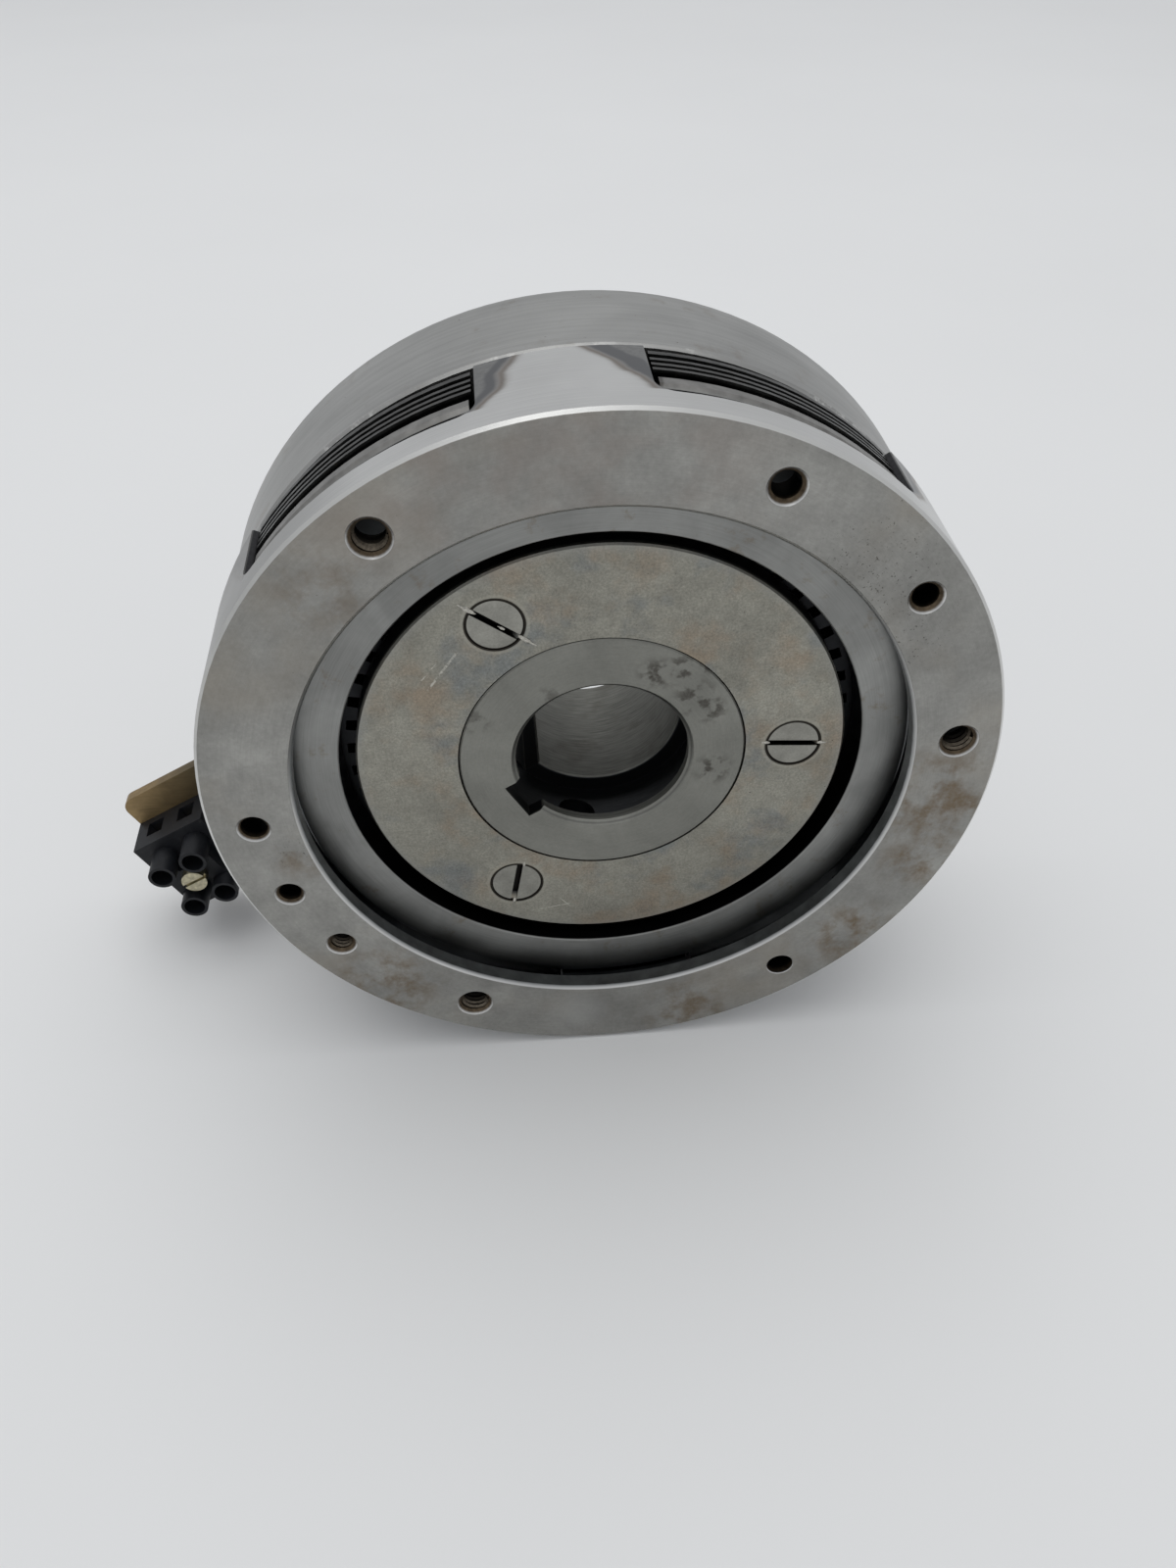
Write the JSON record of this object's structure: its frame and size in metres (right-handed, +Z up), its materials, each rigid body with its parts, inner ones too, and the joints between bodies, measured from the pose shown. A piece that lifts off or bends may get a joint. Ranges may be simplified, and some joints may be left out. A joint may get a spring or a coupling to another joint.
{
  "type": "electromagnetic clutch",
  "caption": "Slip-ring-less electromagnetic multi-plate clutch with outer driver, splined hub, armature plate and a stationary coil body with terminal block.",
  "frame": {"origin": "on the shaft axis, in the plane of the outer driver's front flange face; the wall of the flange register starts 0.8 mm behind it", "axes": "+Y along the shaft axis from the front flange towards the magnet body, so the flange faces -Y; +X to the right seen from the front; +Z up"},
  "size_m": [0.2078, 0.0675, 0.17],
  "materials": {
    "turned_steel": "turned satin",
    "plate_steel": "ground, oily",
    "bearing_steel": "ground",
    "spring_steel": "blackened",
    "brass": "turned",
    "winding": "enamelled copper wire",
    "moulding": "moulded",
    "bracket_plate": "yellow-brown passivated sheet"
  },
  "bodies": {
    "magnet": {"magnet_body": "turned_steel", "coil_bobbin": "moulding", "coil_winding": "winding", "coil_potting": "moulding", "housing_circlip": "spring_steel", "bearing_outer_race": "bearing_steel", "bearing_shields": "bearing_steel", "bracket": "bracket_plate", "bracket_screws": "turned_steel", "terminal_block": "moulding", "terminal_clamps": "brass", "terminal_screws": "turned_steel", "block_screw": "brass"},
    "hub": {"hub": "turned_steel", "end_plate": "turned_steel", "end_plate_screws": "turned_steel", "pole_spacer": "brass", "outer_pole": "turned_steel", "hub_circlip": "spring_steel", "bearing_inner_race": "bearing_steel"},
    "ball_set": {"bearing_balls": "bearing_steel", "bearing_cage": "brass"},
    "driver": {"cage": "turned_steel"},
    "armature": {"armature_plate": "turned_steel"},
    "outer_1": {"outer_plate_1": "plate_steel"},
    "outer_2": {"outer_plate_2": "plate_steel"},
    "outer_3": {"outer_plate_3": "plate_steel"},
    "outer_4": {"outer_plate_4": "plate_steel"},
    "inner_1": {"inner_plate_1": "plate_steel"},
    "inner_2": {"inner_plate_2": "plate_steel"},
    "inner_3": {"inner_plate_3": "plate_steel"},
    "inner_4": {"inner_plate_4": "plate_steel"},
    "inner_5": {"inner_plate_5": "plate_steel"}
  },
  "joints": [
    {"name": "hub_spin", "type": "hinge", "parent": "magnet", "child": "hub", "pos_m": [0, 0, 0], "axis": [0, 1, 0], "continuous": true},
    {"name": "ball_spin", "type": "hinge", "parent": "magnet", "child": "ball_set", "pos_m": [0, 0, 0], "axis": [0, 1, 0], "continuous": true},
    {"name": "cage_spin", "type": "hinge", "parent": "magnet", "child": "driver", "pos_m": [0, 0, 0], "axis": [0, 1, 0], "continuous": true},
    {"name": "armature_slide", "type": "slide", "parent": "driver", "child": "armature", "axis": [0, 1, 0], "range_m": [0, 0.0028]},
    {"name": "outer_1_slide", "type": "slide", "parent": "driver", "child": "outer_1", "axis": [0, 1, 0], "range_m": [0, 0.0002201]},
    {"name": "outer_2_slide", "type": "slide", "parent": "driver", "child": "outer_2", "axis": [0, 1, 0], "range_m": [0, 0.0007401]},
    {"name": "outer_3_slide", "type": "slide", "parent": "driver", "child": "outer_3", "axis": [0, 1, 0], "range_m": [0, 0.0009602]},
    {"name": "outer_4_slide", "type": "slide", "parent": "driver", "child": "outer_4", "axis": [0, 1, 0], "range_m": [0, 0.00098]},
    {"name": "inner_1_slide", "type": "slide", "parent": "hub", "child": "inner_1", "axis": [0, 1, 0], "range_m": [0, 0.0001101]},
    {"name": "inner_2_slide", "type": "slide", "parent": "hub", "child": "inner_2", "axis": [0, 1, 0], "range_m": [0, 0.00048]},
    {"name": "inner_3_slide", "type": "slide", "parent": "hub", "child": "inner_3", "axis": [0, 1, 0], "range_m": [0, 0.0008501]},
    {"name": "inner_4_slide", "type": "slide", "parent": "hub", "child": "inner_4", "axis": [0, 1, 0], "range_m": [0, 0.00097]},
    {"name": "inner_5_slide", "type": "slide", "parent": "hub", "child": "inner_5", "axis": [0, 1, 0], "range_m": [0, 0.00164]}
  ],
  "couplings": [
    {"joint": "ball_spin", "follows": "hub_spin", "ratio": 0.4467},
    {"joint": "outer_1_slide", "follows": "armature_slide", "ratio": 0.0786},
    {"joint": "outer_2_slide", "follows": "armature_slide", "ratio": 0.2643},
    {"joint": "outer_3_slide", "follows": "armature_slide", "ratio": 0.3429},
    {"joint": "outer_4_slide", "follows": "armature_slide", "ratio": 0.35},
    {"joint": "inner_1_slide", "follows": "armature_slide", "ratio": 0.0393},
    {"joint": "inner_2_slide", "follows": "armature_slide", "ratio": 0.1714},
    {"joint": "inner_3_slide", "follows": "armature_slide", "ratio": 0.3036},
    {"joint": "inner_4_slide", "follows": "armature_slide", "ratio": 0.3464},
    {"joint": "inner_5_slide", "follows": "armature_slide", "ratio": 0.5857}
  ]
}
